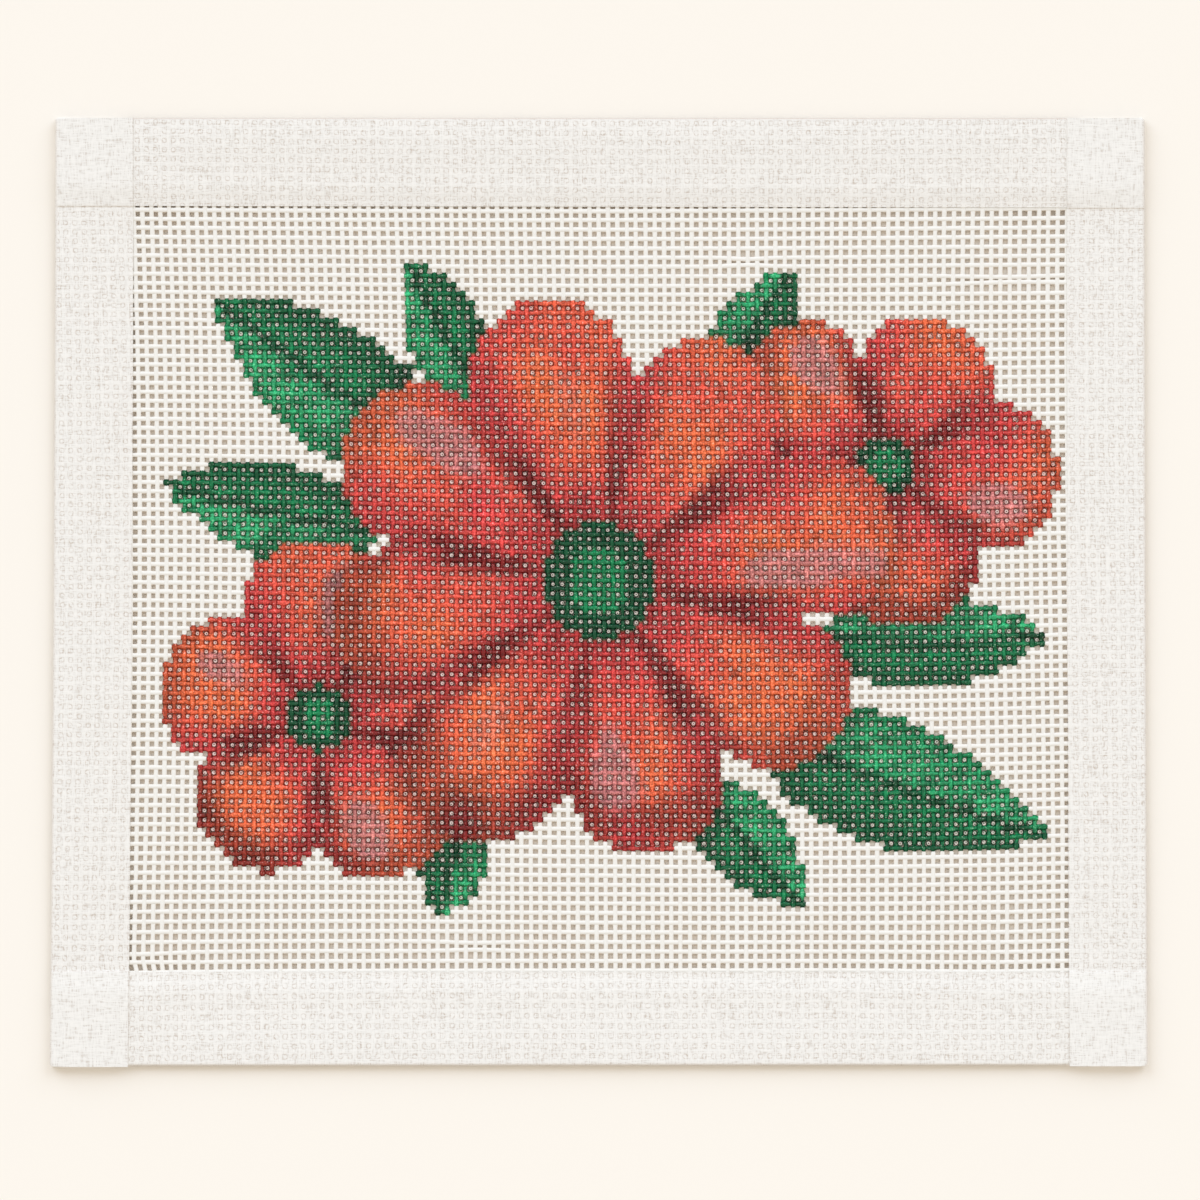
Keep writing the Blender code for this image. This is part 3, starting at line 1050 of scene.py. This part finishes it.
def painted_mono_canvas():
    """Cotton mono canvas, woven and starched, with acrylic paint brushed on its threads.

    Smooth, near white and matt where bare; satin, with soft changes of colour and ragged
    ends at the thread crossings, where painted.
    """
    material, add = new_material("painted_mono_canvas")
    canvas = settings("canvas")
    place = add("TexCoord").outputs["Object"]
    paint = add("Attribute", attribute_name="paint")
    cover, shade_and_matt = [
        add("Attribute", attribute_name=name).outputs["Fac"]
        for name in ("cover", "shade_and_matt")
    ]
    # Brush ends: blobs 0.45 mm across move the paint's edge
    ragged = add("TexNoise", {"Vector": place, "Scale": 1 / (0.45 * MM), "Detail": 2.0})
    moved = add("Math", {0: ragged, 1: 0.5, 2: cover}, operation="MULTIPLY_ADD")
    edge = add("MapRange", {"Value": moved, "From Min": 0.66, "From Max": 0.76})
    # Thin and thick paint: blots 0.7 mm across
    blots = add("TexNoise", {"Vector": place, "Scale": 1 / (0.7 * MM), "Detail": 3.0})
    body = add("MapRange", {"Value": blots, "To Min": 0.62, "To Max": 1.38})
    # Brush marks 0.35 mm across, drawn coarser than real, so that they show
    marks = add("TexNoise", {"Vector": place, "Scale": 1 / (0.35 * MM), "Detail": 2.0})
    streaks = add("MapRange", {
        "Value": marks, "From Min": 0.34, "From Max": 0.66, "To Min": 0.56, "To Max": 1.36,
    })
    # Where the brush missed, a little cotton shows
    missed = add("MapRange", {
        "Value": marks, "From Min": 0.64, "From Max": 0.74, "To Min": 1.0, "To Max": 0.45,
    })
    share = add("Math", {0: edge, 1: missed}, operation="MULTIPLY")
    dabs = add("Math", {0: body, 1: streaks}, operation="MULTIPLY")
    painted = add("VectorMath", {0: paint, "Scale": dabs}, operation="SCALE")
    # Painted shade: the threads' sides and backs are drawn warm brown, darker than their tops
    bare, shaded_cotton = (*canvas.cotton, 1), (*canvas.shaded_cotton, 1)
    cotton = add("Mix", {0: shade_and_matt, 6: bare, 7: shaded_cotton}, data_type="RGBA").outputs[2]
    colour = add("Mix", {0: share, 6: cotton, 7: painted}, data_type="RGBA").outputs[2]
    gloss = add("MapRange", {"Value": edge, "To Min": 0.72, "To Max": 0.28})
    sheen = add("MapRange", {"Value": shade_and_matt, "From Max": 0.5, "To Min": 0.36, "To Max": 0.08})
    # Fibres and bristle marks in relief, 0.16 mm across
    fibres = add("TexNoise", {"Vector": place, "Scale": 1 / (0.16 * MM), "Detail": 2.0})
    relief = add("Bump", {"Height": fibres, "Strength": 0.35, "Distance": 0.05 * MM})
    finish_material(add, {
        "Base Color": colour, "Roughness": gloss, "Specular IOR Level": sheen, "Normal": relief,
    })
    return material


def starch_film():
    """Starch and thinned paint dried in the holes: a pale, slightly glossy skin."""
    material, add = new_material("starch_film")
    place = add("TexCoord").outputs["Object"]
    paint = add("Attribute", attribute_name="paint")
    cover = add("Attribute", attribute_name="cover").outputs["Fac"]
    # Patches 0.8 mm across, some with more paint in them
    patches = add("TexNoise", {"Vector": place, "Scale": 1 / (0.8 * MM), "Detail": 2.0})
    stain = add("Math", {0: patches, 1: 0.5, 2: cover}, operation="MULTIPLY_ADD")
    share = add("MapRange", {"Value": stain, "From Min": 0.22, "From Max": 0.95})
    # Paint that ran down between the threads lies at the film's edge; there its colour is drawn
    # darker as painted shade in the crevice
    shaded_paint = add("VectorMath", {0: paint, "Scale": 0.85}, operation="SCALE")
    starch = (*settings("canvas").starch, 1)
    colour = add("Mix", {0: share, 6: starch, 7: shaded_paint}, data_type="RGBA").outputs[2]
    finish_material(add, {"Base Color": colour, "Roughness": 0.35})
    return material


def cotton_tape():
    """Matt bleached cotton tape, pressed on: a fine uneven weave, with the holes' rims showing in
    relief and in painted shade.
    """
    material, add = new_material("cotton_tape")
    tape = settings("tape")
    place = add("TexCoord").outputs["Object"]
    meshes = add("UVMap", uv_map="meshes")
    pressed, step_shade, fold_shade = [
        add("Attribute", attribute_name=name).outputs["Fac"]
        for name in ("pressed", "step_shade", "fold_shade")
    ]
    # Rims: in each mesh the outline of a rounded square, made uneven
    inside = add("VectorMath", {0: meshes}, operation="FRACTION")
    centred = add("VectorMath", {0: inside, 1: (0.5, 0.5, 0.0)}, operation="SUBTRACT")
    parts = add("SeparateXYZ", {0: centred})
    powers = []
    for part in ("X", "Y"):
        size = add("Math", {0: parts.outputs[part]}, operation="ABSOLUTE")
        powers.append(add("Math", {0: size, 1: SQUARENESS}, operation="POWER"))
    total = add("Math", dict(enumerate(powers)), operation="ADD")
    radius = add("Math", {0: total, 1: 1 / SQUARENESS}, operation="POWER")
    jitter = add("TexNoise", {"Vector": place, "Scale": 1 / (0.5 * MM), "Detail": 2.0})
    uneven = add("Math", {0: jitter, 1: RIM_JITTER, 2: radius}, operation="MULTIPLY_ADD")
    line = RIM_RADIUS + RIM_JITTER / 2  # as the noise is 0.5 on average
    off = add("Math", {0: uneven, 1: line}, operation="SUBTRACT")
    far = add("Math", {0: off}, operation="ABSOLUTE")
    rim = add("MapRange", {"Value": far, "From Min": RIM_REACH, "From Max": RIM_CORE})
    # Rims and creases come and go over 0.5 mm
    gaps = add("TexNoise", {"Vector": place, "Scale": 1 / (0.5 * MM), "Detail": 3.0})
    broken = add("MapRange", {"Value": gaps, "From Min": 0.31, "From Max": 0.69, "To Max": 0.95})
    pressing = add("Math", {0: rim, 1: pressed, 2: step_shade}, operation="MULTIPLY_ADD")
    # Weave: strokes each way, 0.27 by 1.8 mm, drawn coarser than real, so that they show
    strokes = []
    for stroke in ((1.8, 0.27, 0.4), (0.27, 1.8, 0.4)):
        across = [1 / (length * MM) for length in stroke]
        laid = add("VectorMath", {0: place, 1: across}, operation="MULTIPLY")
        strokes.append(add("TexNoise", {"Vector": laid, "Scale": 1.0, "Detail": 1.0}))
    weave = add("Math", dict(enumerate(strokes)), operation="ADD")
    # Painted shade in the gaps between its threads and along the fold
    gap_shade = add("MapRange", {"Value": weave, "From Min": 0.88, "From Max": 0.66, "To Max": 0.55})
    painted_shade = add("Math", {0: fold_shade, 1: gap_shade}, operation="ADD")
    amounts = {0: pressing, 1: broken, 2: painted_shade}
    # ring is the share of the mark colour: painted shade on the holes' rims, creases, cut edges, fold
    # and weave gaps
    ring = add("Math", amounts, operation="MULTIPLY_ADD", use_clamp=True)
    fleck = add("MapRange", {
        "Value": weave, "From Min": 0.78, "From Max": 1.22, "To Min": 0.93, "To Max": 1.03,
    })
    cloth = add("VectorMath", {0: tuple(tape.cloth), "Scale": fleck}, operation="SCALE")
    mark = (*tape.mark, 1)
    colour = add("Mix", {0: ring, 6: cloth, 7: mark}, data_type="RGBA").outputs[2]
    height = add("Math", {0: ring, 1: -0.8, 2: weave}, operation="MULTIPLY_ADD")
    relief = add("Bump", {"Height": height, "Strength": 0.32, "Distance": 0.1 * MM})
    finish_material(add, {
        "Base Color": colour, "Roughness": 0.85, "Normal": relief, "Sheen Weight": 0.1,
    })
    return material


def warm_paper():
    """Smooth warm white card: matt, with nothing on it."""
    material, add = new_material("warm_paper")
    finish_material(add, {"Base Color": (*settings("stage").floor, 1), "Roughness": 0.9})
    return material


# ---- stage

FLOOR_SIZE = 6000.0
RIGHT_LAMP = 0.83  # strength of the right lamp, as a share of the left one's


class NEEDLEPOINT_OT_stage(bpy.types.Operator):
    """Lays the floor and sets the light and the camera"""

    bl_idname = "needlepoint.set_stage"
    bl_label = "Set the stage"

    def execute(self, context):
        stage = settings("stage")
        scene = context.scene
        bpy.ops.object.select_all(action="DESELECT")
        bpy.ops.mesh.primitive_plane_add(size=FLOOR_SIZE * MM, location=(0, 0, 0))
        floor = context.object
        floor.name = "floor"
        floor.data.materials.append(warm_paper())

        # Two wide suns stand for the soft lamps beyond the panel's top corners
        for side, way, strength in (("left", 1, 1.0), ("right", -1, RIGHT_LAMP)):
            light = bpy.data.lights.new(f"{side}_lamp", "SUN")
            light.angle = stage.lamp_spread
            light.energy = stage.lamp * strength
            light.color = stage.lamp_tint
            lamp = bpy.data.objects.new(f"{side}_lamp", light)
            lamp.rotation_euler = (stage.lamp_height - math.pi / 2, 0.0, way * stage.lamp_turn)
            scene.collection.objects.link(lamp)

        world = bpy.data.worlds.new("room")
        world.use_nodes = True
        room = world.node_tree.nodes["Background"]
        room.inputs["Color"].default_value = (*stage.room_tint, 1)
        room.inputs["Strength"].default_value = stage.room
        scene.world = world
        scene.view_settings.view_transform = "Standard"

        lens = bpy.data.cameras.new("camera")
        lens.lens = stage.lens
        camera = bpy.data.objects.new("camera", lens)
        above = stage.picture * stage.lens / lens.sensor_width
        camera.location = (stage.aim_x, stage.aim_y, above)
        scene.collection.objects.link(camera)
        scene.camera = camera
        return {"FINISHED"}


# ---- the add-on

class NEEDLEPOINT_PT_panel(bpy.types.Panel):
    """Sizes, colours and steps of the needlepoint canvas panel"""

    bl_label = "Needlepoint canvas panel"
    bl_idname = "NEEDLEPOINT_PT_panel"
    bl_space_type = "VIEW_3D"
    bl_region_type = "UI"
    bl_category = "Needlepoint"

    def draw(self, context):
        for name, group in GROUPS.items():
            box = self.layout.box()
            box.label(text=name.capitalize())
            for field in group.__annotations__:
                box.prop(settings(name), field)
        for step in STEPS:
            self.layout.operator(step.bl_idname)


GROUPS = {
    "canvas": NEEDLEPOINT_PG_canvas,
    "paint": NEEDLEPOINT_PG_paint,
    "tape": NEEDLEPOINT_PG_tape,
    "stage": NEEDLEPOINT_PG_stage,
}
STEPS = (NEEDLEPOINT_OT_tape, NEEDLEPOINT_OT_weave, NEEDLEPOINT_OT_starch, NEEDLEPOINT_OT_stage)
CLASSES = (*GROUPS.values(), *STEPS, NEEDLEPOINT_PT_panel)


def register():
    for one in CLASSES:
        bpy.utils.register_class(one)
    for name, group in GROUPS.items():
        setattr(bpy.types.Scene, f"needlepoint_{name}", PointerProperty(type=group))


def unregister():
    for name in GROUPS:
        delattr(bpy.types.Scene, f"needlepoint_{name}")
    for one in reversed(CLASSES):
        bpy.utils.unregister_class(one)


def main():
    register()
    bpy.ops.needlepoint.fold_tape()
    bpy.ops.needlepoint.weave_canvas()
    bpy.ops.needlepoint.film_holes()
    bpy.ops.needlepoint.set_stage()


if __name__ == "__main__":
    main()
